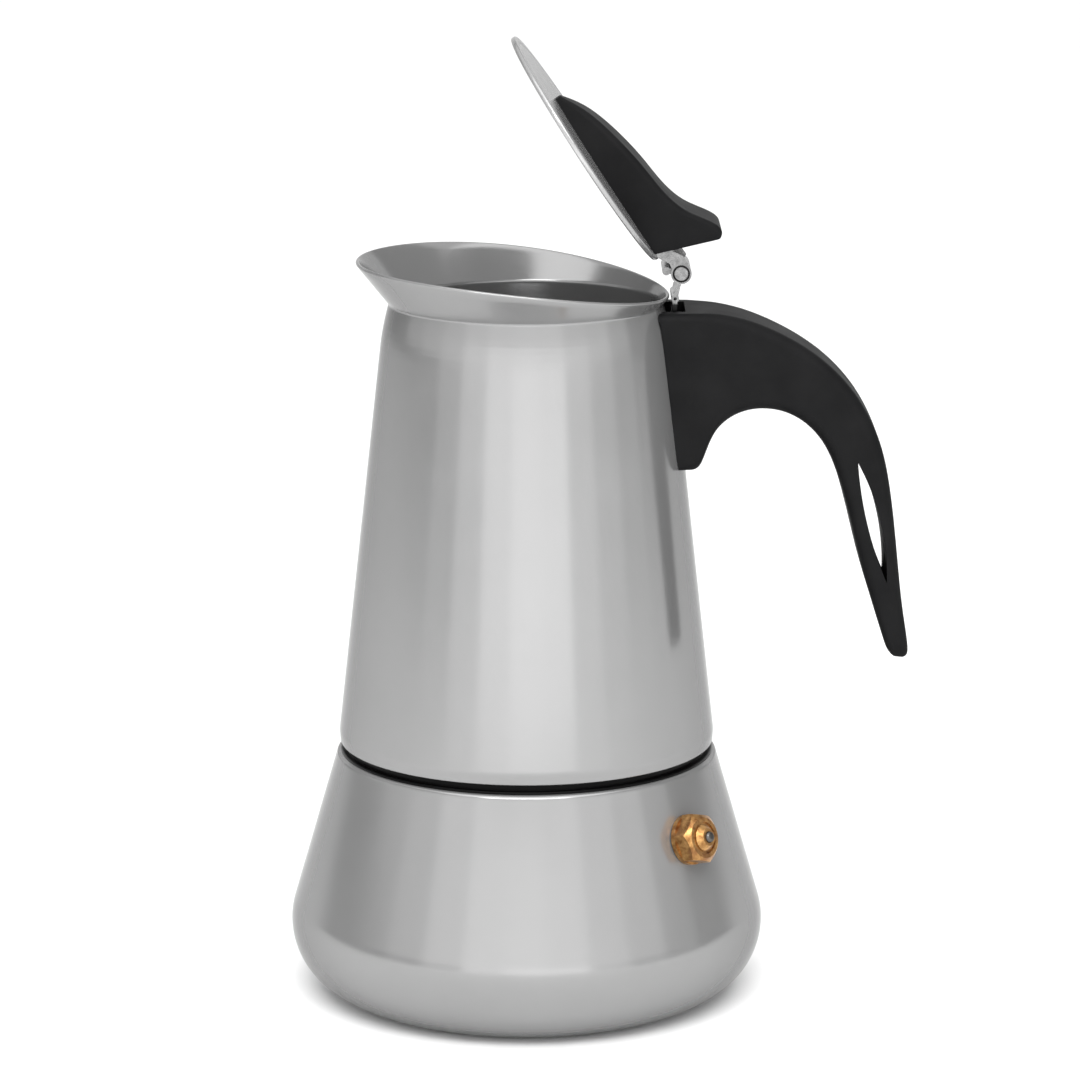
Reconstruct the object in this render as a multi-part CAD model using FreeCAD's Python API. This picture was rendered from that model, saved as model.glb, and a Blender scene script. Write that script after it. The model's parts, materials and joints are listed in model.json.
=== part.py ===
import FreeCAD, Part
import math
import os

# Stovetop coffee pot (moka pot) for about six cups. Millimetres, +Z up.
# The origin is the centre of the flat bottom, the pot's axis is Z, the handle points along +X
# and the lid's pin lies along Y. The lid stands open in the stored pose.

# ---- driving dimensions ----
WALL = 0.8                      # steel sheet of the boiler, the upper chamber and the lid
FACE_GAP = 0.05                 # between flat faces of parts that turn against each other

# Boiler: a cone with a large bottom round and a level shoulder.
BOILER_CONE_R = 57.8            # cone radius if it ran down to z = 0
BOILER_CONE_SLOPE = 0.29        # loss of radius per millimetre of height
BOTTOM_ROUND = 16.0
SHOULDER_ROUND = 1.2
SHOULDER_Z = 55.0
NECK_OUT_R = 37.0
NECK_IN_R = 35.6
NECK_TOP_Z = 67.0
SEAM_RING_R = 40.0
SEAM_RING_TOP_Z = 57.6
SEAM_FOOT_R = 41.2
SEAM_FOOT_TOP_Z = 55.6

# Thread between the two halves: one rounded ridge on each side, the same helix half a pitch apart.
PITCH = 3.5
RIDGE_BASE = 2.0
RIDGE_CREST = 0.7
RIDGE_HEIGHT = 1.2
COLLAR_IN_R = 38.6
MALE_START_Z = 58.8
MALE_TURNS = 2.0
FEMALE_TURNS = 1.6
COLLAR_BOTTOM_Z = 58.2
COLLAR_TOP_Z = 69.0

# Upper chamber: a slimmer cone, a crease near the top, and a flare cut by a curve that is high at the spout.
SKIRT_Z = 57.1
SKIRT_EDGE_R = 41.3
SKIRT_ROUND_Z = 59.4
SKIRT_R = 41.5
NECKING_Z = 148.5
NECKING_R = 31.5
CREASE_Z = 154.8
CREASE_R = 30.0
FLARE_SLOPE = 0.8               # gain of radius per millimetre of height
FLARE_TOP_Z = 167.0
RIM_MID_X = -2.3
RIM_MID_Z = 161.6
RIM_SLOPE = -0.1095
RIM_BEND = -0.00133

# Between the halves: coffee basket, gasket, filter plate, floor of the upper chamber.
CUP_R = 34.8
CUP_SHEET = 0.6
CUP_FLANGE_R = 36.8
CUP_BOTTOM_Z = 44.0
STEM_R = 5.5
STEM_TOP_Z = 38.0
STEM_BOTTOM_Z = 4.5
CUP_FLANGE_TOP_Z = NECK_TOP_Z + 0.8
SCREEN_SHEET = 0.5
SCREEN_HOLE_R = 0.6
SCREEN_HOLE_STEP = 4.6
PLATE_HOLE_R = 0.5
PLATE_HOLE_STEP = 4.2
HOLE_RINGS = 6
GASKET_Z = CUP_FLANGE_TOP_Z + FACE_GAP
GASKET_IN_R = 30.6
GASKET_R = 38.2
PLATE_Z = GASKET_Z + 1.75
PLATE_R = 32.8
PLATE_SHEET = 0.5
FLOOR_Z = 71.5
RISER_FOOT_R = 8.0
RISER_TOP_R = 5.6
RISER_TOP_Z = 128.0
RISER_CAP_TOP_Z = 134.0

# Safety valve: its axis is square to the boiler wall.
VALVE_AZIMUTH = 50.0            # degrees from -Y towards +X
VALVE_Z = 41.7                  # height of the axis at the wall's outer face
VALVE_BORE_R = 2.0
VALVE_SHANK_R = 3.5
VALVE_PIN_R = 1.2
VALVE_FLANGE_R = 5.5
VALVE_ACROSS_FLATS = 10.0
HEX_TURN = 13.0                 # degrees that the hexagon's corners are turned from straight down
VALVE_EYE_R = 2.9               # raised ring round the pin
VALVE_SEAT_T = -6.0             # places along the valve's axis, outward from the wall's outer face
VALVE_INNER_T = -7.5
VALVE_NUT_T = -5.3
VALVE_WASHER_T = -2.3
VALVE_FLANGE_T = 1.1
VALVE_SPRING_END_T = 3.7
VALVE_HEX_T = 4.9
VALVE_FRONT_T = 6.1
VALVE_PIN_T = 6.9
VALVE_HEAD_LENGTH = 1.6

# Lid hinge: pin centre in XZ. The lid's own axes start there: U runs along the open lid, N is its outer side.
PIN_X = 33.5
PIN_Z = 162.1
PIN_R = 1.45
KNUCKLE_R = 2.25
STRAP_HALF = 6.0
EYE_X = 32.25                   # small curl low on the fixed strap
EYE_Z = 156.5
CHEEK_IN_Y = 6.25
CHEEK_OUT_Y = 7.05
LID_ANGLE = 123.3               # degrees from +X to the open lid, about -Y
LID_R = 28.55
LID_MID_U = 33.35
LID_UNDER_N = -3.1
LID_TOP_N = LID_UNDER_N + WALL
LEAF_SHEET = 0.8
LID_HEM = 1.6
LID_HEM_DEPTH = 0.35
LID_SCREW_R = 1.45
LID_SCREW_HOLE_R = 1.6
LID_SCREW_U = 15.6
LEAF_END_U = 21.0

# Handle: outline in XZ, half width over X.
HANDLE_TOP_Z = 153.8
POCKET_END_X = 34.5
POCKET_HALF = 6.8
POCKET_BOTTOM_Z = 141.0
HANDLE_CLEAR = 0.05
HANDLE_SCREW_R = 1.95
HANDLE_SCREW_SEAT = 2.6         # depth of the head's counterbore below the arch
BRACKET_LOW_Z = 126.0
BRACKET_TOP_Z = 140.0
BRACKET_HALF = 5.0
BRACKET_SHEET = 1.6
SCREW_X = 43.2                  # handle screw: centre of its seat in the arch, and its direction
SCREW_Z = 129.4
SCREW_SLOPE = 128.0             # degrees from +X in XZ

PARTS = "parts"


def vec(x, z, y=0.0):
    return FreeCAD.Vector(x, y, z)


def outline(start, *steps):
    """A closed wire in XZ: (x, z) is a line, (mid, end) an arc, a list of points a smooth curve."""
    edges = []
    here = start
    for step in steps:
        if isinstance(step, list):
            curve = Part.BSplineCurve()
            curve.interpolate([vec(*here)] + [vec(*p) for p in step])
            edges.append(curve.toShape())
            here = step[-1]
        elif isinstance(step[0], tuple):
            edges.append(Part.Arc(vec(*here), vec(*step[0]), vec(*step[1])).toShape())
            here = step[1]
        else:
            edges.append(Part.makeLine(vec(*here), vec(*step)))
            here = step
    if (vec(*here) - vec(*start)).Length > 1e-6:
        edges.append(Part.makeLine(vec(*here), vec(*start)))
    return Part.Wire(edges)


def lathe(start, *steps):
    """A solid of revolution about Z from an outline of (radius, height)."""
    return Part.Face(outline(start, *steps)).revolve(vec(0, 0), vec(0, 1), 360)


def slab(half_y, start, *steps):
    """An XZ outline made solid over the width -half_y to half_y."""
    face = Part.Face(outline(start, *steps))
    face.translate(vec(0, 0, -half_y))
    return face.extrude(vec(0, 0, 2 * half_y))


def tube(r_in, r_out, z0, z1):
    return lathe((r_in, z0), (r_out, z0), (r_out, z1), (r_in, z1))


def rod(radius, z0, z1, x=0.0, y=0.0):
    return Part.makeCylinder(radius, z1 - z0, FreeCAD.Vector(x, y, z0))


def cross_rod(radius, x, z, half_y):
    return Part.makeCylinder(radius, 2 * half_y, vec(x, z, -half_y), FreeCAD.Vector(0, 1, 0))


def box(x0, x1, half_y, z0, z1):
    return Part.makeBox(x1 - x0, 2 * half_y, z1 - z0, FreeCAD.Vector(x0, -half_y, z0))


def around(centre, radius, degrees):
    angle = math.radians(degrees)
    return (centre[0] + radius * math.cos(angle), centre[1] + radius * math.sin(angle))


def hexagon(across_flats, z0, z1):
    corner = across_flats / math.sqrt(3)
    points = [FreeCAD.Vector(*around((0, 0), corner, 60 * i + HEX_TURN), z0) for i in range(7)]
    return Part.Face(Part.makePolygon(points)).extrude(FreeCAD.Vector(0, 0, z1 - z0))


def hole_rings(spacing, rings):
    """Places of holes in rings about the axis, six more in each ring than in the last."""
    places = [(0.0, 0.0)]
    for ring in range(1, rings + 1):
        count = 6 * ring
        places += [around((0, 0), spacing * ring, 360.0 * i / count) for i in range(count)]
    return places


def perforate(sheet, radius, z0, z1, spacing):
    holes = [rod(radius, z0, z1, x, y) for x, y in hole_rings(spacing, HOLE_RINGS)]
    return sheet.cut(Part.makeCompound(holes))


def rounded_section(low, high, half_y, corner):
    """A rounded rectangle that stands on an XZ line from low to high and is square to Y."""
    up = vec(*high) - vec(*low)
    half_up = up.Length / 2
    up.normalize()
    middle = (vec(*low) + vec(*high)) * 0.5
    bulge = corner * math.sqrt(0.5)
    arcs = []
    for u, v in ((1, 1), (-1, 1), (-1, -1), (1, -1)):
        centre = middle + up * u * (half_up - corner) + vec(0, 0, v * (half_y - corner))
        side = centre + vec(0, 0, v * corner)
        end = centre + up * u * corner
        arc = [end, centre + up * u * bulge + vec(0, 0, v * bulge), side]
        arcs.append(arc if u == v else arc[::-1])
    edges = []
    for arc, following in zip(arcs, arcs[1:] + arcs[:1]):
        edges.append(Part.Arc(*arc).toShape())
        edges.append(Part.makeLine(arc[-1], following[0]))
    return Part.Wire(edges)


def smooth_body(stations):
    """One smooth solid through rounded sections: (low point, high point, half width, corner radius)."""
    return Part.makeLoft([rounded_section(*station) for station in stations], True, False)


def export(shape, name):
    shape.exportStep(os.path.join(PARTS, name + ".step"))


# ---- boiler ----
def boiler_body(inset):
    """The boiler's outer form, shrunk by inset, closed across the mouth."""
    lean = math.sqrt(1 + BOILER_CONE_SLOPE ** 2)
    slope_deg = math.degrees(math.atan(BOILER_CONE_SLOPE))

    def round_centre(z, radius):
        return (BOILER_CONE_R - BOILER_CONE_SLOPE * z - radius * lean, z)

    low = round_centre(BOTTOM_ROUND, BOTTOM_ROUND)
    high = round_centre(SHOULDER_Z - SHOULDER_ROUND, SHOULDER_ROUND)
    low_r = BOTTOM_ROUND - inset
    high_r = SHOULDER_ROUND - inset
    return lathe(
        (0, inset),
        (low[0], inset),
        (around(low, low_r, slope_deg / 2 - 45), around(low, low_r, slope_deg)),
        around(high, high_r, slope_deg),
        (around(high, high_r, slope_deg / 2 + 45), around(high, high_r, 90)),
        (0, SHOULDER_Z - inset),
    )


def valve_frame(shape):
    """Moves a shape built along +Z from the origin to the valve's axis on the boiler wall."""
    tilt = math.degrees(math.atan(BOILER_CONE_SLOPE))
    wall_r = BOILER_CONE_R - BOILER_CONE_SLOPE * VALVE_Z
    placed = shape.copy()
    placed.rotate(vec(0, 0), FreeCAD.Vector(0, 1, 0), 90 - tilt)
    placed.translate(vec(wall_r, VALVE_Z))
    placed.rotate(vec(0, 0), vec(0, 1), VALVE_AZIMUTH - 90)
    return placed


def boiler_shell():
    mouth = rod(NECK_OUT_R, SHOULDER_Z - 2, SHOULDER_Z + 1)
    valve_hole = valve_frame(rod(VALVE_SHANK_R + 0.1, -3, 3))
    return boiler_body(0).cut(boiler_body(WALL)).cut(mouth).cut(valve_hole)


def thread_ridge(radius, outward, start_z, turns):
    """A helical ridge on a cylinder; its root reaches a little into the ring that carries it."""
    root = radius - outward * 0.2
    tip = radius + outward * RIDGE_HEIGHT
    half_base = RIDGE_BASE / 2
    half_crest = RIDGE_CREST / 2
    profile = outline((root, -half_base), (tip, -half_crest), (tip, half_crest), (root, half_base))
    path = Part.makeHelix(PITCH, PITCH * turns, radius)
    ridge = Part.Wire(path).makePipeShell([profile], True, True)
    ridge.translate(vec(0, start_z))
    return ridge


def neck_ring():
    ring = tube(NECK_IN_R, NECK_OUT_R, SHOULDER_Z - WALL, NECK_TOP_Z)
    return ring.fuse(thread_ridge(NECK_OUT_R, 1, MALE_START_Z, MALE_TURNS)).removeSplitter()


def seam_ring():
    """Ring on the boiler's shoulder: a thin foot, and a body that stands inside the skirt."""
    edge = 0.3
    return lathe(
        (NECK_OUT_R, SHOULDER_Z),
        (SEAM_FOOT_R, SHOULDER_Z),
        (SEAM_FOOT_R, SEAM_FOOT_TOP_Z),
        (SEAM_RING_R, SEAM_FOOT_TOP_Z),
        (SEAM_RING_R, SEAM_RING_TOP_Z - edge),
        (SEAM_RING_R - edge, SEAM_RING_TOP_Z),
        (NECK_OUT_R, SEAM_RING_TOP_Z),
    )


# ---- coffee basket ----
def funnel_cup():
    inner = CUP_R - CUP_SHEET
    under = CUP_BOTTOM_Z - CUP_SHEET
    return lathe(
        (STEM_R, STEM_TOP_Z),
        (CUP_R - 2, under),
        (CUP_R, under + 2),
        (CUP_R, NECK_TOP_Z),
        (CUP_FLANGE_R, NECK_TOP_Z),
        (CUP_FLANGE_R, CUP_FLANGE_TOP_Z),
        (inner, CUP_FLANGE_TOP_Z),
        (inner, CUP_BOTTOM_Z + 1.4),
        (CUP_R - 2.3, CUP_BOTTOM_Z + 0.05),
        (STEM_R, STEM_TOP_Z + CUP_SHEET),
    )


def funnel_stem():
    bore = STEM_R - CUP_SHEET
    return lathe(
        (bore, STEM_BOTTOM_Z),
        (STEM_R, STEM_BOTTOM_Z + 1.5),
        (STEM_R, STEM_TOP_Z + 1.6),
        (bore, STEM_TOP_Z + 1.6),
    )


def funnel_screen():
    low = CUP_BOTTOM_Z + 1.5
    sheet = tube(0, CUP_R - CUP_SHEET, low, low + SCREEN_SHEET)
    return perforate(sheet, SCREEN_HOLE_R, low - 1, low + 1, SCREEN_HOLE_STEP)


# ---- gasket and filter plate ----
def gasket():
    top = FLOOR_Z - FACE_GAP
    return lathe(
        (GASKET_IN_R, GASKET_Z),
        (GASKET_R, GASKET_Z),
        (GASKET_R, top),
        (PLATE_R, top),
        (PLATE_R, PLATE_Z),
        (GASKET_IN_R, PLATE_Z),
    )


def filter_plate():
    top = FLOOR_Z - FACE_GAP
    inner = PLATE_R - PLATE_SHEET
    dish = lathe(
        (0, PLATE_Z),
        (PLATE_R, PLATE_Z),
        (PLATE_R, top),
        (inner, top),
        (inner, PLATE_Z + PLATE_SHEET),
        (0, PLATE_Z + PLATE_SHEET),
    )
    return perforate(dish, PLATE_HOLE_R, PLATE_Z - 1, PLATE_Z + 1, PLATE_HOLE_STEP)


# ---- upper chamber ----
def upper_points(inset):
    """Radius and height of the upper wall from the skirt's edge to the top of the flare."""
    lean = math.sqrt(1 + FLARE_SLOPE ** 2)
    flare_r = CREASE_R + FLARE_SLOPE * (FLARE_TOP_Z - CREASE_Z)
    return [
        (SKIRT_EDGE_R - inset, SKIRT_Z),
        (SKIRT_R - inset, SKIRT_ROUND_Z),
        (NECKING_R - inset, NECKING_Z),
        (NECKING_R - 0.45 - inset, NECKING_Z + 3.4),
        (CREASE_R - inset, CREASE_Z),
        (flare_r - inset * lean, FLARE_TOP_Z),
    ]


def upper_wall_r(z):
    """Outer radius of the straight part of the upper cone."""
    share = (z - SKIRT_ROUND_Z) / (NECKING_Z - SKIRT_ROUND_Z)
    return SKIRT_R + share * (NECKING_R - SKIRT_R)


def rim_z(x):
    from_mid = x - RIM_MID_X
    return RIM_MID_Z + RIM_SLOPE * from_mid + RIM_BEND * from_mid ** 2


def above_rim():
    """Everything over the curved cut of the flare."""
    return slab(60, (-50, rim_z(-50)), ((0, rim_z(0)), (50, rim_z(50))), (50, 190), (-50, 190))


def upper_shell():
    edge, skirt, necking, bend, crease, top = upper_points(0)
    edge_in, skirt_in, necking_in, bend_in, crease_in, top_in = upper_points(WALL)
    bottom_mid = (SKIRT_R - 0.05, (SKIRT_Z + SKIRT_ROUND_Z) / 2)
    bottom_mid_in = (bottom_mid[0] - WALL, bottom_mid[1])
    wall = lathe(
        edge,
        (bottom_mid, skirt),
        necking,
        (bend, crease),
        top,
        top_in,
        crease_in,
        (bend_in, necking_in),
        skirt_in,
        (bottom_mid_in, edge_in),
    )
    return wall.cut(above_rim())


def upper_floor():
    low = FLOOR_Z
    high = FLOOR_Z + WALL
    return lathe(
        (RISER_FOOT_R, low),
        (upper_wall_r(low) - WALL, low),
        (upper_wall_r(high) - WALL, high),
        (RISER_FOOT_R, high),
    )


def thread_collar():
    low = COLLAR_BOTTOM_Z
    bend = SKIRT_ROUND_Z
    high = COLLAR_TOP_Z
    ring = lathe(
        (COLLAR_IN_R, low),
        (SKIRT_R - WALL - 0.1, low),
        (SKIRT_R - WALL - 0.02, bend),
        (upper_wall_r(high) - WALL - 0.02, high),
        (COLLAR_IN_R, high),
    )
    ridge = thread_ridge(COLLAR_IN_R, -1, MALE_START_Z + PITCH / 2, FEMALE_TURNS)
    return ring.fuse(ridge).removeSplitter()


def riser_tube():
    return lathe(
        (RISER_FOOT_R - WALL, FLOOR_Z),
        (RISER_FOOT_R, FLOOR_Z),
        (RISER_FOOT_R, FLOOR_Z + 4),
        (RISER_TOP_R, RISER_TOP_Z),
        (RISER_TOP_R - WALL, RISER_TOP_Z),
        (RISER_FOOT_R - WALL, FLOOR_Z + 4),
    )


def riser_cap():
    """A closed cap pressed on the riser, with two windows that let the coffee out."""
    share = (RISER_TOP_Z - 6 - FLOOR_Z - 4) / (RISER_TOP_Z - FLOOR_Z - 4)
    grip_r = RISER_FOOT_R + share * (RISER_TOP_R - RISER_FOOT_R)
    top = RISER_CAP_TOP_Z
    cap = lathe(
        (grip_r, RISER_TOP_Z - 6),
        (grip_r + WALL, RISER_TOP_Z - 6),
        (grip_r + WALL, top - 2),
        ((grip_r + WALL - 0.6, top - 0.6), (grip_r + WALL - 2, top)),
        (0, top),
        (0, top - WALL),
        (grip_r - 2, top - WALL),
        (grip_r, top - 2.4),
    )
    window = box(-10, 10, 1.6, RISER_TOP_Z + 0.3, top - 2.2)
    return cap.cut(window)


# ---- safety valve ----
def valve_body():
    hex_part = hexagon(VALVE_ACROSS_FLATS, VALVE_FLANGE_T, VALVE_HEX_T)
    chamfer = lathe((0, VALVE_FLANGE_T), (6.4, VALVE_FLANGE_T), (6.4, VALVE_HEX_T - 1.7),
                    (4.4, VALVE_HEX_T), (0, VALVE_HEX_T))
    turned = lathe(
        (0, VALVE_INNER_T),
        (VALVE_SHANK_R, VALVE_INNER_T),
        (VALVE_SHANK_R, 0),
        (VALVE_FLANGE_R, 0),
        (VALVE_FLANGE_R, VALVE_FLANGE_T),
        (VALVE_EYE_R, VALVE_FLANGE_T),
        (VALVE_EYE_R, VALVE_HEX_T),
        (1.9, VALVE_FRONT_T),
        (0, VALVE_FRONT_T),
    )
    groove = tube(VALVE_EYE_R, VALVE_EYE_R + 0.6, VALVE_HEX_T - 0.4, VALVE_HEX_T + 1)
    pin_way_r = VALVE_PIN_R + 0.07
    bore = lathe(
        (0, VALVE_INNER_T - 1),
        (1.0, VALVE_INNER_T - 1),
        (1.0, VALVE_SEAT_T),
        (VALVE_BORE_R, VALVE_SEAT_T),
        (VALVE_BORE_R, VALVE_SPRING_END_T),
        (pin_way_r, VALVE_SPRING_END_T),
        (pin_way_r, VALVE_FRONT_T + 1),
        (0, VALVE_FRONT_T + 1),
    )
    return valve_frame(hex_part.common(chamfer).fuse(turned).cut(groove).cut(bore).removeSplitter())


def valve_seal_washer():
    return valve_frame(tube(VALVE_SHANK_R, 5.4, VALVE_WASHER_T, -1.2))


def valve_back_nut():
    nut = hexagon(VALVE_ACROSS_FLATS, VALVE_NUT_T, VALVE_WASHER_T)
    return valve_frame(nut.cut(rod(VALVE_SHANK_R, VALVE_NUT_T - 1, VALVE_WASHER_T + 1)))


def valve_pin():
    head_t = VALVE_SEAT_T + VALVE_HEAD_LENGTH
    tip = VALVE_PIN_T
    return valve_frame(lathe(
        (0, VALVE_SEAT_T),
        (1.3, VALVE_SEAT_T),
        (VALVE_BORE_R - 0.1, VALVE_SEAT_T + 0.6),
        (VALVE_BORE_R - 0.1, head_t),
        (VALVE_PIN_R, head_t),
        (VALVE_PIN_R, tip - 0.7),
        ((VALVE_PIN_R - 0.22, tip - 0.2), (0.5, tip)),
        (0, tip),
    ))


def valve_spring():
    wire_r = 0.2
    coil_r = 1.6
    low = VALVE_SEAT_T + VALVE_HEAD_LENGTH + wire_r + FACE_GAP
    high = VALVE_SPRING_END_T - wire_r - FACE_GAP
    turns = 7
    path = Part.makeHelix((high - low) / turns, high - low, coil_r)
    section = Part.Wire(Part.makeCircle(wire_r, vec(coil_r, 0), FreeCAD.Vector(0, 1, 0)))
    coil = Part.Wire(path).makePipeShell([section], True, True)
    coil.translate(vec(0, low))
    return valve_frame(coil)


# ---- handle ----
def pot_outside(gap):
    """The upper chamber's outer form as a solid block, grown by gap."""
    edge, skirt, necking, bend, crease, top = upper_points(-gap)
    return lathe((0, SKIRT_Z), edge, skirt, necking, (bend, crease), top, (0, FLARE_TOP_Z))


def handle_form():
    """Head against the pot, arch, and grip down to the tip, as sections from the inner to the outer side."""
    grip = [
        ((36.0, 119.4), (35.5, HANDLE_TOP_Z), 10.9, 1.8),
        ((38.6, 122.0), (38.6, 153.7), 10.3, 2.0),
        ((41.0, 127.4), (42.0, 153.4), 9.8, 2.2),
        ((45.4, 131.2), (47.0, 152.3), 9.3, 2.3),
        ((51.3, 132.5), (54.0, 149.6), 8.9, 2.4),
        ((58.5, 130.7), (63.5, 143.9), 8.8, 2.4),
        ((64.0, 125.8), (71.3, 136.0), 8.75, 2.4),
        ((67.3, 119.3), (76.4, 126.7), 8.7, 2.4),
        ((70.2, 109.7), (79.3, 115.2), 8.65, 2.3),
        ((73.4, 97.1), (81.3, 98.8), 8.5, 2.2),
        ((76.2, 88.0), (82.7, 87.0), 8.4, 2.0),
        ((78.4, 81.0), (83.8, 79.6), 8.2, 1.7),
        ((79.5, 78.4), (83.7, 77.6), 7.7, 1.3),
        ((80.7, 77.1), (83.0, 76.9), 6.9, 0.7),
    ]
    root = ((26.0, 119.2), (26.0, HANDLE_TOP_Z), 11.8, 1.5)
    head = Part.makeLoft([rounded_section(*root), rounded_section(*grip[0])], True, True)
    return head.fuse(smooth_body(grip))


def handle_screw_frame(shape):
    """Moves a shape built along +Z to the handle screw's axis, with z = 0 at its seat in the arch."""
    placed = shape.copy()
    placed.rotate(vec(0, 0), FreeCAD.Vector(0, 1, 0), 90 - SCREW_SLOPE)
    placed.translate(vec(SCREW_X, SCREW_Z))
    return placed


def bracket_form():
    """Sheet bracket: a foot on the pot's wall and a tab square to the handle screw."""
    low = (upper_wall_r(BRACKET_LOW_Z) + BRACKET_SHEET, BRACKET_LOW_Z)
    top = (upper_wall_r(BRACKET_TOP_Z) + BRACKET_SHEET, BRACKET_TOP_Z)
    foot = slab(BRACKET_HALF, (CREASE_R - 1, BRACKET_LOW_Z), low, top, (CREASE_R - 1, BRACKET_TOP_Z))
    tab_start = around((SCREW_X, SCREW_Z), 7.5, SCREW_SLOPE)
    tab_end = around(tab_start, 2.4, SCREW_SLOPE)
    corners = [around(point, across, SCREW_SLOPE + 90)
               for point, across in ((tab_start, -4.5), (tab_end, -4.5), (tab_end, 9), (tab_start, 9))]
    return foot.fuse(slab(BRACKET_HALF, *corners)).cut(pot_outside(0)).removeSplitter()


def handle_bracket():
    return bracket_form().cut(handle_screw_frame(rod(HANDLE_SCREW_R, -5, 18)))


def handle():
    body = handle_form()
    strap_pocket = box(26, POCKET_END_X, POCKET_HALF, POCKET_BOTTOM_Z, HANDLE_TOP_Z + 1)
    slot_top = (72.2, 120.7)
    slot_low = (78.9, 93.8)
    slot = slab(20, slot_top, ((77.4, 107.3), slot_low), ((74.6, 106.4), slot_top))
    screw_way = handle_screw_frame(rod(HANDLE_SCREW_R, 0, 18).fuse(rod(3.5, -8, HANDLE_SCREW_SEAT)))
    cuts = Part.makeCompound([strap_pocket, slot, screw_way, bracket_form()])
    return body.cut(pot_outside(HANDLE_CLEAR)).cut(cuts)


def handle_screw():
    """Pan head screw up through the arch into the bracket's tab."""
    seat = HANDLE_SCREW_SEAT
    head = lathe((0, seat - 2), (2.4, seat - 2), ((3.1, seat - 1.5), (3.3, seat)), (0, seat))
    cross = box(-2, 2, 0.4, seat - 2.2, seat - 1).fuse(box(-0.4, 0.4, 2, seat - 2.2, seat - 1))
    shank = rod(HANDLE_SCREW_R, seat, seat + 10.4)
    return handle_screw_frame(head.cut(cross).fuse(shank).removeSplitter())


# ---- lid hinge, fixed half ----
def hinge_bracket():
    """A strap welded to the wall under the rim, with a knuckle, a stop nub and a small curl."""
    thick = 1.0
    foot_z = POCKET_BOTTOM_Z + 1
    line = [(upper_wall_r(foot_z), foot_z), (upper_wall_r(NECKING_Z), NECKING_Z), (31.6, 152.5),
            (31.75, 156.4), (32.6, 160.2)]
    strap = slab(STRAP_HALF, *line, *[(x + thick, z) for x, z in reversed(line)])
    knuckle = cross_rod(KNUCKLE_R, PIN_X, PIN_Z, STRAP_HALF)
    nub_x = PIN_X - 3.2
    nub = cross_rod(0.9, nub_x, PIN_Z + 0.4, STRAP_HALF)
    web = box(nub_x, PIN_X, STRAP_HALF, PIN_Z - 0.2, PIN_Z + 1.0)
    curl = cross_rod(0.85, EYE_X, EYE_Z, STRAP_HALF)
    solid = strap.cut(pot_outside(0)).fuse([knuckle, nub, web, curl])
    holes = cross_rod(PIN_R, PIN_X, PIN_Z, STRAP_HALF + 1).fuse(cross_rod(0.35, EYE_X, EYE_Z, 8))
    return solid.cut(holes).removeSplitter()


def hinge_pin():
    return cross_rod(PIN_R, PIN_X, PIN_Z, CHEEK_OUT_Y)


# ---- lid; built flat with U along +X and N along +Z, then swung open about the pin ----
def open_lid(shape):
    placed = shape.copy()
    placed.rotate(vec(0, 0), vec(0, 1), 180)
    placed.rotate(vec(0, 0), FreeCAD.Vector(0, 1, 0), 180 - LID_ANGLE)
    placed.translate(vec(PIN_X, PIN_Z))
    return placed


def lid_plate():
    under = LID_UNDER_N
    plate = lathe(
        (0, under),
        (LID_R - LID_HEM, under),
        (LID_R - LID_HEM, under - LID_HEM_DEPTH),
        (LID_R, under - LID_HEM_DEPTH),
        (LID_R, LID_TOP_N),
        (0, LID_TOP_N),
    )
    plate.translate(vec(LID_MID_U, 0))
    return open_lid(plate.cut(rod(LID_SCREW_HOLE_R, under - 1, under + 2, LID_SCREW_U)))


def lid_hinge_leaf():
    """Sheet leaf on the lid: a base under the knob, a raised web and two cheeks round the pin."""
    base_n = LID_TOP_N
    base = box(5.6, LEAF_END_U, CHEEK_OUT_Y, base_n, base_n + LEAF_SHEET)
    web = slab(CHEEK_OUT_Y, (6.9, base_n), (5.7, base_n), (4.65, 0.3), (4.9, 1.2), (5.5, 0.9), (6.9, -1.0))
    cheek = slab(CHEEK_OUT_Y, (7.6, base_n), (4.8, 1.35), (3.1, 2.4), (1.1, 2.5), (-0.5, 0), (2.0, -1.1),
                 (3.3, -0.9), (5.6, base_n))
    cheek = cheek.fuse(cross_rod(KNUCKLE_R, 0, 0, CHEEK_OUT_Y))
    cheek = cheek.cut(box(-5, 9, CHEEK_IN_Y, -5, 5))
    holes = [cross_rod(PIN_R + 0.05, 0, 0, 9), rod(LID_SCREW_HOLE_R, -4, 0, LID_SCREW_U)]
    sink_r = PIN_R + 0.4
    ring = cross_rod(sink_r, 0, 0, 9).cut(cross_rod(sink_r, 0, 0, CHEEK_OUT_Y - 0.45))
    leaf = cheek.fuse([base, web]).cut(Part.makeCompound(holes)).cut(ring)
    return open_lid(leaf.removeSplitter())


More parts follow.
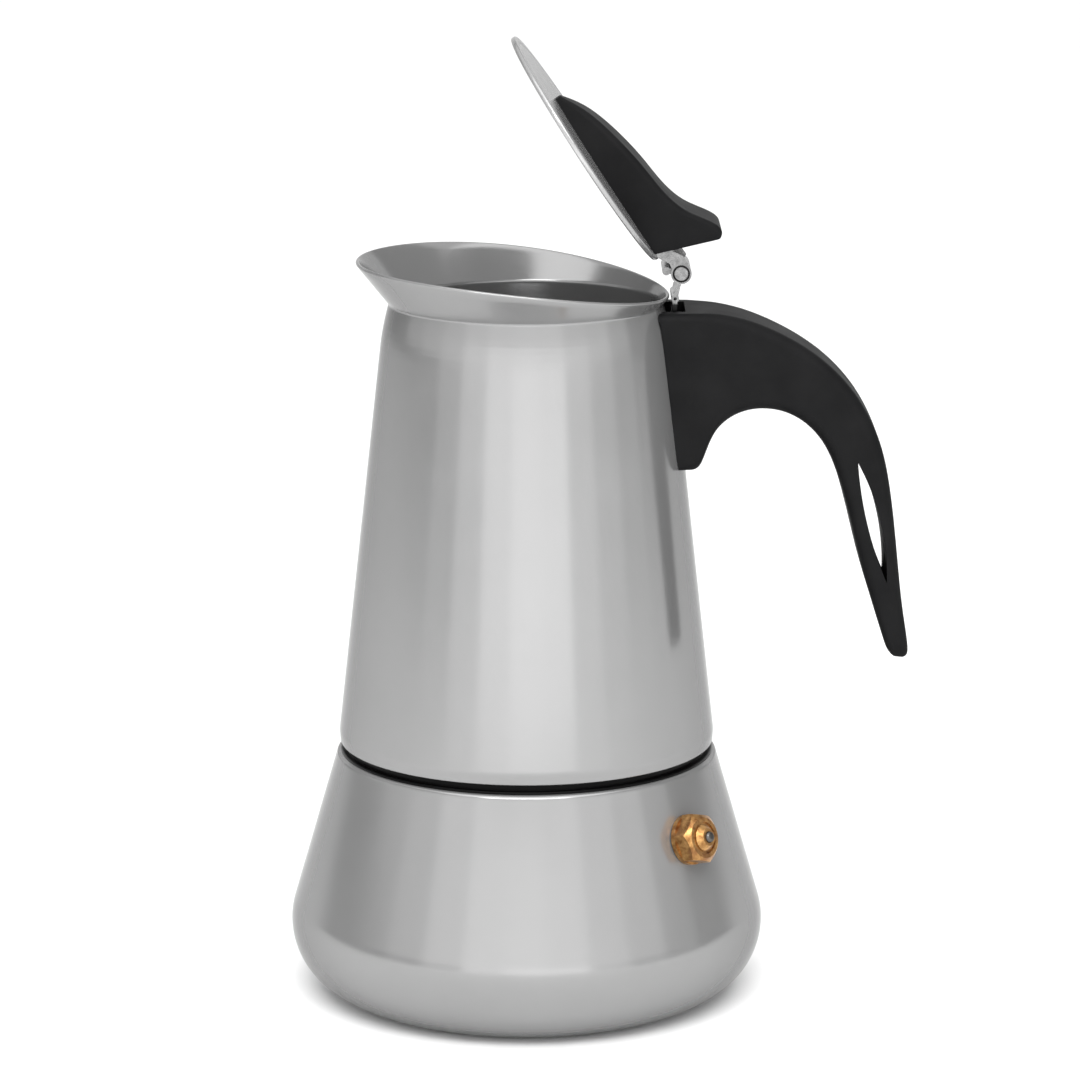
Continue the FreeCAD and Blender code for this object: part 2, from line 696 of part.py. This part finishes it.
def lid_knob():
    """Thumb knob: raised tab at the hinge end, waist, and a low rounded nose."""
    base_n = LID_TOP_N
    low_n = base_n - 2.0
    stations = [
        ((7.7, low_n), (2.0, 11.3), 8.9, 1.0),
        ((8.5, low_n), (3.4, 12.5), 9.3, 1.3),
        ((10.4, low_n), (6.3, 11.6), 9.5, 1.4),
        ((13.9, low_n), (10.8, 8.7), 9.6, 1.5),
        ((18.4, low_n), (16.5, 6.8), 9.6, 1.5),
        ((24.0, low_n), (23.5, 6.0), 9.4, 1.5),
        ((30.0, low_n), (30.0, 5.0), 8.7, 1.5),
        ((36.0, low_n), (36.0, 3.6), 7.3, 1.4),
        ((41.0, low_n), (41.0, 1.8), 5.3, 1.2),
        ((44.2, low_n), (44.2, 0.0), 3.3, 0.9),
        ((45.9, low_n), (45.9, -1.1), 1.4, 0.4),
    ]
    knob = smooth_body(stations).cut(box(-5, 60, 20, low_n - 5, base_n))
    leaf_room = box(0, LEAF_END_U, CHEEK_OUT_Y, base_n - 1, base_n + LEAF_SHEET)
    web_room = slab(CHEEK_OUT_Y, (5.0, base_n), (7.7, base_n), (7.7, -1.2), (5.5, 2.0), (0.0, 3.0))
    return open_lid(knob.cut(leaf_room).cut(web_room).cut(rod(LID_SCREW_R, -4, 3.5, LID_SCREW_U)))


def lid_screw():
    """Round head screw from inside the lid up into the knob."""
    head_n = LID_UNDER_N
    head = lathe((0, head_n - 1.7), ((1.9, head_n - 1.2), (2.6, head_n)), (0, head_n))
    slot = box(-3, 3, 0.35, head_n - 2, head_n - 0.9)
    screw = head.cut(slot).fuse(rod(LID_SCREW_R, head_n, 3.4)).removeSplitter()
    screw.translate(vec(LID_SCREW_U, 0))
    return open_lid(screw)


NODES = [
    boiler_shell, neck_ring, seam_ring, funnel_cup, funnel_stem, funnel_screen, gasket, filter_plate,
    upper_shell, upper_floor, thread_collar, riser_tube, riser_cap, valve_body, valve_seal_washer,
    valve_back_nut, valve_spring, valve_pin, handle_bracket, handle, handle_screw, hinge_bracket,
    hinge_pin, lid_plate, lid_hinge_leaf, lid_knob, lid_screw,
]

os.makedirs(PARTS, exist_ok=True)
for make in NODES:
    export(make(), make.__name__)
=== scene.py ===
import json
import math

import bpy
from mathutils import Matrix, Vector


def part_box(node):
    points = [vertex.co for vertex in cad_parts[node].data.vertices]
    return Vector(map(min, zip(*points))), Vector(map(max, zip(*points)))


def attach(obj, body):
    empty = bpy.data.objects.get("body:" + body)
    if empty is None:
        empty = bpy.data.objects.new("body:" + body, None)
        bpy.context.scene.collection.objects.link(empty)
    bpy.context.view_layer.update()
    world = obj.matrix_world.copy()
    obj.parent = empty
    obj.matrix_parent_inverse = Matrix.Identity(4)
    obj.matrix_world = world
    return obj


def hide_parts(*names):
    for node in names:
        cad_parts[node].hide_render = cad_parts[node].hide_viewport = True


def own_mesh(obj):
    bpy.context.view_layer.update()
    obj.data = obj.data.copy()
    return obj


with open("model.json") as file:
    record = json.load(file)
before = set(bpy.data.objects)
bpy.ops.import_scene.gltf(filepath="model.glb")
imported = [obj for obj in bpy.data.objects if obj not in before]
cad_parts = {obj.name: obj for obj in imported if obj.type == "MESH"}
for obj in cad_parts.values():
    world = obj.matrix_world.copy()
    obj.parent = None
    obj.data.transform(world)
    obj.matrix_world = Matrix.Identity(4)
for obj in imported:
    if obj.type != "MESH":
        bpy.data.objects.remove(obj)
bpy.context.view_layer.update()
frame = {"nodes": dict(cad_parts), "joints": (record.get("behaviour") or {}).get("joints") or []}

# Stovetop coffee pot. Metres, in the CAD frame: origin in the middle of the flat bottom, pot axis Z,
# handle towards +X, lid pin along Y. Profiles below are (radius, height, corner radius) in millimetres.

MM = 0.001
SEGMENTS = 288                  # round the pot

# ---- sizes shared with the CAD model, in millimetres ----
WALL = 0.8
CONE_R = 57.8
CONE_SLOPE = 0.29
BOTTOM_ROUND = 16.0
SHOULDER_ROUND = 1.2
SKIRT_EDGE_ROUND = 0.3
SKIRT_ROUND = 6.0
NECKING_ROUND = 85.0
CREASE_OUT_ROUND = 0.7
CREASE_IN_ROUND = 1.2
SHOULDER_Z = 55.0
NECK_R = 37.0
SEAM_BODY_R = 40.0
SEAM_FOOT_R = 41.2
SEAM_FOOT = 0.6
SKIRT_Z = 57.1
SKIRT_EDGE_R = 41.3
SKIRT_ROUND_Z = 59.4
SKIRT_R = 41.5
NECKING_Z = 148.5
NECKING_R = 31.5
CREASE_Z = 154.8
CREASE_R = 30.0
FLARE_SLOPE = 0.8
RIM_MID_X = -2.3
RIM_MID_Z = 161.6
RIM_SLOPE = -0.1095
RIM_BEND = -0.00133
LID_R = 28.55
LID_MID_U = 33.35
LID_UNDER_N = -3.1
LID_ANGLE = math.radians(123.3)
LID_HEM = 1.6
LID_HEM_DROP = 0.35
LID_EDGE_ROUND = 0.4
PIN_HEAD_R = 1.48
PIN_SHADE_R = 1.88               # painted shade: near-black ring between the pin's head and this radius, for the shadowed gap round the head
SHADED_TAIL_Z = 155.2                  # painted shade: the hinge strap is darkened to black below this height, where it lies in the handle's shadowed pocket

# ---- camera and studio, in metres ----
CAMERA_PLACE = (0.0030, -0.9743, 0.3158)
CAMERA_DOWN = 12.39             # degrees below level
LENS = 151.0
SENSOR = 36.0
FLOOR_HALF = 9.0
WORLD = 0.35
WIDE_BOXES = {                  # place, aim, size, radiance
    "near_floor": ((0, -0.9, 2.2), (0, -0.9, 0), (3.0, 1.6), 1.9),
    "key": ((0, -1.7, 1.8), (0, -0.5, 0), (2.0, 0.8), 8.0),
    "back": ((0, 3.4, 0.9), (0, 0, 0.9), (6.0, 1.6), 0.9),
    "overhead": ((0, 1.0, 3.2), (0, 1.0, 0), (5.0, 7.0), 0.9),
}
BOX_DISTANCE = 1.5
BOX_STEP = 20
BOX_ROWS = {                    # (bottom, top): radiance by direction, in degrees from the front
    (0.01, 0.22): {-60: 0.45, -40: 1.2, -20: 2.2, 0: 2.7, 20: 2.6, 40: 1.35, 60: 0.8, 80: 0.35},
    (0.22, 0.50): {-100: 0.5, -80: 0.7, -60: 1.0, -40: 1.65, -20: 2.2, 0: 2.3, 20: 2.1, 40: 1.6, 60: 1.2,
                   80: 0.6},
    (0.50, 1.30): {-100: 0.3, -80: 0.5, -60: 0.75, -40: 1.1, -20: 1.35, 0: 1.45, 20: 1.38, 40: 0.95,
                   60: 0.8, 80: 0.4},
}

joints = {joint["name"]: joint for joint in frame["joints"]}
PIN = Vector(joints["lid_hinge"]["pos_m"])
LID_ALONG = Vector((math.cos(LID_ANGLE), 0, math.sin(LID_ANGLE)))
LID_OUT = Vector((math.sin(LID_ANGLE), 0, -math.cos(LID_ANGLE)))


# ---- mesh helpers ----
def round_corners(points, arc_step=3.0):
    """Replaces each corner of a closed outline that has a radius by an arc, in steps of arc_step degrees."""
    out = []
    count = len(points)
    for i, (x, z, radius) in enumerate(points):
        here = Vector((x, z))
        if radius == 0:
            out.append(here)
            continue
        before = Vector(points[i - 1][:2]) - here
        after = Vector(points[(i + 1) % count][:2]) - here
        half = before.angle(after) / 2
        reach = min(radius / math.tan(half), 0.49 * before.length, 0.49 * after.length)
        radius = reach * math.tan(half)
        centre = here + (before.normalized() + after.normalized()).normalized() * radius / math.sin(half)
        start = here + before.normalized() * reach - centre
        turn = start.angle_signed(here + after.normalized() * reach - centre)
        steps = max(4, round(math.degrees(abs(turn)) / arc_step))
        for k in range(steps + 1):
            a = -turn * k / steps
            out.append(centre + Vector((start.x * math.cos(a) - start.y * math.sin(a),
                                        start.x * math.sin(a) + start.y * math.cos(a))))
    return out


def run_shares(points, step=5.0, margin=0.3):
    """Where extra points go along each straight run of a closed outline: evenly, and close to each end."""
    shares = []
    for here, after in zip(points, points[1:] + points[:1]):
        length = (after - here).length
        inner = max(1, round(length / step))
        between = [margin / length] + [k / inner for k in range(1, inner)] + [1 - margin / length]
        shares.append(between if length > 4 * margin else [])
    return shares


def fill_runs(points, shares):
    out = []
    for here, after, between in zip(points, points[1:] + points[:1], shares):
        out.append(here)
        out += [here.lerp(after, share) for share in between]
    return out


def mesh_piece(name, verts, faces, body, material, replaced):
    """A smooth piece that stands for one CAD node; verts are in millimetres."""
    mesh = bpy.data.meshes.new(name)
    mesh.from_pydata([v * MM for v in verts], [], faces)
    mesh.polygons.foreach_set("use_smooth", [True] * len(mesh.polygons))
    mesh.materials.append(material)
    piece = bpy.data.objects.new(name, mesh)
    bpy.context.scene.collection.objects.link(piece)
    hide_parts(replaced)
    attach(piece, body)
    return piece


def turned(outline_at, segments=SEGMENTS):
    """Vertices and faces of a closed outline turned about Z; outline_at(angle) gives (radius, height)s.
    Points on the axis are shared by all angles."""
    verts, rings = [], []
    on_axis = {}
    for s in range(segments):
        angle = 2 * math.pi * s / segments
        ring = []
        for i, point in enumerate(outline_at(angle)):
            if point.x < 1e-6:
                if i not in on_axis:
                    on_axis[i] = len(verts)
                    verts.append(Vector((0, 0, point.y)))
                ring.append(on_axis[i])
            else:
                ring.append(len(verts))
                verts.append(Vector((point.x * math.cos(angle), point.x * math.sin(angle), point.y)))
        rings.append(ring)
    faces = []
    for ring, following in zip(rings, rings[1:] + rings[:1]):
        for i in range(len(ring)):
            j = (i + 1) % len(ring)
            face = [ring[i], following[i], following[j], ring[j]]
            face = [v for k, v in enumerate(face) if v != face[k - 1]]
            if len(face) > 2:
                faces.append(face)
    return verts, faces


def lathe(name, points, body, material, replaced):
    corners = round_corners(points)
    outline = fill_runs(corners, run_shares(corners))
    verts, faces = turned(lambda angle: outline)
    return mesh_piece(name, verts, faces, body, material, replaced)


# ---- material helpers ----
class Nodes:
    """A material's node tree with short calls for the nodes used here."""

    def __init__(self, name):
        self.material = bpy.data.materials.new(name)
        self.material.use_nodes = True
        self.tree = self.material.node_tree
        self.shader = self.tree.nodes["Principled BSDF"]
        self.place = self.tree.nodes.new("ShaderNodeTexCoord").outputs["Object"]

    def set(self, **values):
        for name, value in values.items():
            self.shader.inputs[name.replace("_", " ")].default_value = value

    def link(self, output, name):
        self.tree.links.new(output, self.shader.inputs[name])

    def node(self, kind, **inputs):
        node = self.tree.nodes.new(kind)
        for name, value in inputs.items():
            socket = node.inputs[name.replace("_", " ")]
            if hasattr(value, "is_linked"):
                self.tree.links.new(value, socket)
            else:
                socket.default_value = value
        return node

    def noise(self, size_mm, detail=3.0, stretch=(1, 1, 1), rough=0.5):
        """Noise with features of about size_mm; stretch makes it longer along X, Y or Z."""
        mapping = self.node("ShaderNodeMapping", Vector=self.place, Scale=[1 / s for s in stretch])
        node = self.node("ShaderNodeTexNoise", Vector=mapping.outputs[0], Scale=1000.0 / size_mm,
                         Detail=detail, Roughness=rough)
        return node.outputs["Fac"]

    def spread(self, value, low, high, at=(0.3, 0.7)):
        """Maps the value from the range at to the range low to high."""
        node = self.node("ShaderNodeMapRange", Value=value, From_Min=at[0], From_Max=at[1],
                         To_Min=low, To_Max=high)
        return node.outputs["Result"]

    def mix(self, share, low, high):
        """A colour between low and high; each of them is three numbers or another node's output."""
        node = self.tree.nodes.new("ShaderNodeMix")
        node.data_type = "RGBA"
        self.tree.links.new(share, node.inputs["Factor"])
        for name, colour in (("A", low), ("B", high)):
            if hasattr(colour, "is_linked"):
                self.tree.links.new(colour, node.inputs[name])
            else:
                node.inputs[name].default_value = (*colour, 1)
        return node.outputs["Result"]

    def blend(self, value, low, high, at=(0.3, 0.7)):
        """A colour between low and high, by where the value lies in the range at."""
        return self.mix(self.spread(value, 0, 1, at), low, high)

    def calc(self, operation, first, second):
        node = self.tree.nodes.new("ShaderNodeMath")
        node.operation = operation
        self.tree.links.new(first, node.inputs[0])
        self.tree.links.new(second, node.inputs[1])
        return node.outputs[0]

    def bump(self, height, depth_mm, strength=1.0):
        node = self.node("ShaderNodeBump", Height=height, Strength=strength, Distance=depth_mm * MM)
        return node.outputs["Normal"]


def steel(name, colour, roughness, grain=(8, 8, 1), metallic=0.6):
    """Sheet with a satin haze under its shine: fine lines along the grain, faint smudges in the gloss."""
    n = Nodes(name)
    n.set(Metallic=metallic, Specular_IOR_Level=0.2, Specular_Tint=(0.45, 0.45, 0.45, 1))
    lines = n.noise(0.5, 2.0, grain)
    cloud = n.noise(22, 4.0)
    n.link(n.blend(cloud, [c * 0.975 for c in colour], [c * 1.025 for c in colour]), "Base Color")
    smudges = n.spread(cloud, roughness - 0.02, roughness + 0.02)
    n.link(n.calc("ADD", n.spread(lines, -0.015, 0.015), smudges), "Roughness")
    n.link(n.bump(lines, 0.0015, 0.3), "Normal")
    return n.material


def plastic(name, colour, light, roughness):
    """Moulded black plastic with a fine eroded grain and lighter rubbed patches."""
    n = Nodes(name)
    n.set(Specular_IOR_Level=0.06)
    cloud = n.noise(9, 4.0)
    grain = n.noise(0.35, 2.0)
    n.link(n.blend(cloud, colour, light), "Base Color")
    n.link(n.spread(cloud, roughness - 0.04, roughness + 0.05), "Roughness")
    n.link(n.bump(grain, 0.02, 0.5), "Normal")
    return n.material


def brass(name):
    """Cast and turned brass, mottled brown from heat."""
    n = Nodes(name)
    n.set(Metallic=0.85)
    patch = n.noise(1.5, 5.0, rough=0.65)
    stain = n.noise(3.5, 3.0)
    warm = n.blend(patch, (0.17, 0.07, 0.018), (0.50, 0.28, 0.10), (0.34, 0.66))
    n.link(n.mix(n.spread(stain, 0.0, 0.6, (0.5, 0.7)), warm, (0.16, 0.06, 0.025)), "Base Color")
    n.link(n.spread(patch, 0.44, 0.28), "Roughness")
    n.link(n.bump(n.noise(0.3, 3.0), 0.03, 0.5), "Normal")
    return n.material


# Soft matte finish: the white gasket's rubber, and the seam ring whose near-black is painted shade
def rubber_and_painted_shade(name, colour, roughness, shine=0.4):
    n = Nodes(name)
    n.set(Specular_IOR_Level=shine)
    cloud = n.noise(5, 3.0)
    n.link(n.blend(cloud, [c * 0.8 for c in colour], [c * 1.15 for c in colour]), "Base Color")
    n.link(n.spread(cloud, roughness - 0.03, roughness + 0.05), "Roughness")
    n.link(n.bump(n.noise(0.4, 2.0), 0.01, 0.4), "Normal")
    return n.material


def hinge_steel(name):
    """Stamped steel of the lid hinge in a randomly worn tone, with painted shade: a near-black ring round the
    pin's head, and a black tail below the small eye where the strap goes down into the handle's pocket.
    """
    n = Nodes(name)
    n.set(Metallic=0.85, Specular_IOR_Level=0.2)
    split = n.node("ShaderNodeSeparateXYZ", Vector=n.place)
    from_pin = n.node("ShaderNodeCombineXYZ", X=split.outputs["X"], Z=split.outputs["Z"])
    distance = n.node("ShaderNodeVectorMath")
    distance.operation = "DISTANCE"
    n.tree.links.new(from_pin.outputs[0], distance.inputs[0])
    distance.inputs[1].default_value = (PIN.x, 0, PIN.z)
    worn = n.blend(n.noise(1.2, 4.0), (0.12, 0.12, 0.12), (0.20, 0.20, 0.20))
    away = distance.outputs["Value"]
    # painted shade: near-black ring round the pin's head, out to the shade radius
    outside = n.spread(away, 0.03, 1.0, ((PIN_SHADE_R - 0.06) * MM, (PIN_SHADE_R + 0.07) * MM))
    head = n.spread(away, 1.0, 0.0, ((PIN_HEAD_R - 0.04) * MM, (PIN_HEAD_R + 0.04) * MM))
    # painted shade: the strap's tail below the small eye is darkened, as it lies in the handle's shadowed
    # pocket
    above_tail_shade = n.spread(split.outputs["Z"], 0.04, 1.0, (SHADED_TAIL_Z * MM, (SHADED_TAIL_Z + 0.4) * MM))
    unshaded = n.calc("MULTIPLY", n.calc("MAXIMUM", outside, head), above_tail_shade)
    # near-black where painted shade falls, worn steel tone elsewhere
    n.link(n.mix(unshaded, (0.004, 0.004, 0.004), worn), "Base Color")
    n.link(n.spread(n.noise(0.8, 3.0), 0.22, 0.34), "Roughness")
    n.link(n.bump(n.noise(0.5, 3.0), 0.006, 0.4), "Normal")
    return n.material


def floor_material():
    n = Nodes("pale_floor")
    n.link(n.blend(n.noise(400, 2.0), (0.90, 0.90, 0.90), (0.92, 0.92, 0.92)), "Base Color")
    n.set(Roughness=0.9)
    return n.material


STEEL = steel("pot_steel", (0.25, 0.25, 0.25), 0.17)
LID_STEEL = steel("lid_sheet_steel", (0.32, 0.32, 0.32), 0.20, (1, 1, 1))
INNER_STEEL = steel("inner_steel", (0.34, 0.34, 0.345), 0.28)
BRIGHT_STEEL = steel("stamped_steel", (0.33, 0.33, 0.33), 0.20, (1, 4, 1), 0.8)
HINGE_STEEL = hinge_steel("hinge_steel")
DARK_STEEL = steel("dark_spring_steel", (0.10, 0.095, 0.09), 0.28, (1, 1, 1), 0.9)
ALUMINIUM = steel("basket_aluminium", (0.46, 0.46, 0.47), 0.38, (6, 6, 1))
BRASS = brass("valve_brass")
BLACK = plastic("moulded_black", (0.005, 0.005, 0.0053), (0.008, 0.008, 0.0083), 0.56)
# painted shade: the seam ring is near-black to stand for the shaded groove between the skirt and the boiler's
# shoulder
SEAM_PAINTED_SHADE = rubber_and_painted_shade("seam_painted_shade", (0.002, 0.002, 0.002), 0.3, 0.06)
GASKET = rubber_and_painted_shade("gasket_white", (0.72, 0.71, 0.67), 0.45)


# ---- the pot's sheet metal ----
def boiler():
    lean = math.sqrt(1 + CONE_SLOPE ** 2)

    def cone(z):
        return CONE_R - CONE_SLOPE * z

    def wall_points(inset):
        foot_r = cone(inset) - inset * lean
        top = SHOULDER_Z - inset
        return [(0, inset, 0), (foot_r, inset, BOTTOM_ROUND - inset),
                (cone(top) - inset * lean, top, SHOULDER_ROUND - inset)]

    mouth = [(NECK_R, SHOULDER_Z, 0), (NECK_R, SHOULDER_Z - WALL, 0)]
    outline = wall_points(0) + mouth + wall_points(WALL)[::-1]
    return lathe("boiler_skin", outline, "boiler", STEEL, "boiler_shell")


def seam_band():
    """Thin foot on the shoulder, and a body that stands up inside the skirt."""
    low, high = [corner[2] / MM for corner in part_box("seam_ring")]
    step = low + SEAM_FOOT
    points = [(NECK_R, low, 0), (SEAM_FOOT_R, low, 0.1), (SEAM_FOOT_R, step, 0.3), (SEAM_BODY_R, step, 0.1),
              (SEAM_BODY_R, high, 0.5), (NECK_R, high, 0)]
    # near-black as painted shade of the groove between skirt and shoulder
    return lathe("seam_band", points, "boiler", SEAM_PAINTED_SHADE, "seam_ring")


def rim_height(angle):
    """Height of the rim on the outer face of the flare in that direction, closed in on step by step."""
    z = RIM_MID_Z
    for _ in range(20):
        x = (CREASE_R + FLARE_SLOPE * (z - CREASE_Z)) * math.cos(angle)
        from_mid = x - RIM_MID_X
        z = RIM_MID_Z + RIM_SLOPE * from_mid + RIM_BEND * from_mid ** 2
    return z


def upper_chamber():
    """The tall cone with its crease and flare; only the flare's top differs round the pot."""
    lean = math.sqrt(1 + FLARE_SLOPE ** 2)
    up = Vector((FLARE_SLOPE, 1)) / lean

    def outline_at(angle):
        top = rim_height(angle) - WALL * up.y / 2
        outer = Vector((CREASE_R + FLARE_SLOPE * (top - CREASE_Z), top))
        inner = outer - Vector((up.y, -up.x)) * WALL
        middle = (outer + inner) / 2
        lip = [middle + up * WALL / 2 * math.sin(math.pi * k / 8)
               + Vector((up.y, -up.x)) * WALL / 2 * math.cos(math.pi * k / 8) for k in range(1, 8)]
        outside = [(SKIRT_EDGE_R, SKIRT_Z, SKIRT_EDGE_ROUND), (SKIRT_R, SKIRT_ROUND_Z, SKIRT_ROUND),
                   (NECKING_R, NECKING_Z, NECKING_ROUND), (CREASE_R, CREASE_Z, CREASE_OUT_ROUND), (*outer, 0)]
        crease_in = CREASE_R - WALL * 1.12
        inside = [(*inner, 0), (crease_in, CREASE_Z, CREASE_IN_ROUND),
                  (NECKING_R - WALL, NECKING_Z, NECKING_ROUND), (SKIRT_R - WALL, SKIRT_ROUND_Z, SKIRT_ROUND),
                  (SKIRT_EDGE_R - WALL, SKIRT_Z, SKIRT_EDGE_ROUND)]
        points = outside + [(*p, 0) for p in lip] + inside
        return round_corners(points)

    shares = run_shares(outline_at(0))
    verts, faces = turned(lambda angle: fill_runs(outline_at(angle), shares))
    return mesh_piece("upper_skin", verts, faces, "upper", STEEL, "upper_shell")


def lid_disc():
    """Thin disc with a hemmed edge, and the pressed ring that its hem leaves."""
    under, top = LID_UNDER_N, LID_UNDER_N + WALL
    hem_under = under - LID_HEM_DROP
    hem_r = LID_R - LID_HEM
    points = [(0, under, 0), (hem_r, under, 0.3), (hem_r, hem_under, 0.15),
              (LID_R, hem_under, LID_EDGE_ROUND), (LID_R, top, LID_EDGE_ROUND), (hem_r, top, 0),
              (hem_r - 0.4, top - 0.12, 0.2), (hem_r - 0.9, top, 0), (0, top, 0)]
    corners = round_corners(points, 12)
    outline = fill_runs(corners, run_shares(corners, 4.0, 0.2))
    flat, faces = turned(lambda angle: outline, 192)
    verts = []
    for v in flat:
        place = LID_ALONG * (v.x + LID_MID_U) + LID_OUT * v.z
        verts.append(Vector((place.x, v.y, place.z)) + PIN / MM)
    return mesh_piece("lid_disc", verts, faces, "lid", LID_STEEL, "lid_plate")


def spring_coil():
    """The valve's spring with the CAD node's form."""
    mesh = frame["nodes"]["valve_spring"].data
    verts = [v.co / MM for v in mesh.vertices]
    faces = [face.vertices[:] for face in mesh.polygons]
    coil = mesh_piece("spring_coil", verts, faces, "boiler", DARK_STEEL, "valve_spring")
    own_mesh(coil)


# ---- CAD pieces that stay, by finish ----
FINISH = {
    "pot_inside": (INNER_STEEL, ["neck_ring", "upper_floor", "thread_collar", "riser_tube", "riser_cap",
                                 "filter_plate"]),
    "basket": (ALUMINIUM, ["funnel_cup", "funnel_stem", "funnel_screen"]),
    "hinge": (HINGE_STEEL, ["hinge_bracket", "hinge_pin", "lid_hinge_leaf"]),
    "fittings": (BRIGHT_STEEL, ["handle_bracket", "handle_screw", "lid_screw"]),
    "valve": (BRASS, ["valve_body", "valve_back_nut"]),
    "valve_inside": (DARK_STEEL, ["valve_pin"]),
    "plastic": (BLACK, ["handle", "lid_knob"]),
    "seals": (GASKET, ["gasket", "valve_seal_washer"]),
}


def finish_cad_nodes():
    for material, names in FINISH.values():
        for name in names:
            node = frame["nodes"][name]
            node.data.materials.clear()
            node.data.materials.append(material)


# ---- studio ----
def camera():
    data = bpy.data.cameras.new("camera")
    data.sensor_width = SENSOR
    data.lens = LENS
    data.clip_start = 0.05
    data.clip_end = 50.0
    eye = bpy.data.objects.new("camera", data)
    eye.location = CAMERA_PLACE
    eye.rotation_euler = (math.radians(90 - CAMERA_DOWN), 0, 0)
    bpy.context.scene.collection.objects.link(eye)
    bpy.context.scene.camera = eye


def area_light(name, place, aim, size, radiance):
    """A soft box; radiance is what it shows in a perfect mirror."""
    data = bpy.data.lights.new(name, "AREA")
    data.shape = "RECTANGLE"
    data.size, data.size_y = size
    data.energy = radiance * math.pi * size[0] * size[1]
    light = bpy.data.objects.new(name, data)
    light.location = place
    light.rotation_euler = (Vector(aim) - Vector(place)).to_track_quat("-Z", "Y").to_euler()
    bpy.context.scene.collection.objects.link(light)


def floor():
    mesh = bpy.data.meshes.new("floor")
    corners = [(FLOOR_HALF * x, FLOOR_HALF * y, 0) for x, y in ((-1, -1), (1, -1), (1, 1), (-1, 1))]
    mesh.from_pydata(corners, [], [(0, 1, 2, 3)])
    mesh.materials.append(floor_material())
    piece = bpy.data.objects.new("floor", mesh)
    bpy.context.scene.collection.objects.link(piece)


def studio():
    """Three rows of soft boxes bent round the front, brightest in the middle, and four wide ones."""
    world = bpy.data.worlds.new("studio")
    world.use_nodes = True
    background = world.node_tree.nodes["Background"]
    background.inputs["Color"].default_value = (1, 1, 1, 1)
    background.inputs["Strength"].default_value = WORLD
    bpy.context.scene.world = world
    width = 2 * BOX_DISTANCE * math.tan(math.radians(BOX_STEP / 2))
    for (bottom, top), boxes in BOX_ROWS.items():
        middle = (bottom + top) / 2
        for azimuth, radiance in boxes.items():
            angle = math.radians(azimuth)
            place = (BOX_DISTANCE * math.sin(angle), -BOX_DISTANCE * math.cos(angle), middle)
            area_light(f"box_{azimuth}_{bottom}", place, (0, 0, middle), (width, top - bottom), radiance)
    for name, (place, aim, size, radiance) in WIDE_BOXES.items():
        area_light(name, place, aim, size, radiance)
    bpy.context.scene.view_settings.view_transform = "Standard"


boiler()
seam_band()
upper_chamber()
lid_disc()
spring_coil()
finish_cad_nodes()
camera()
floor()
studio()
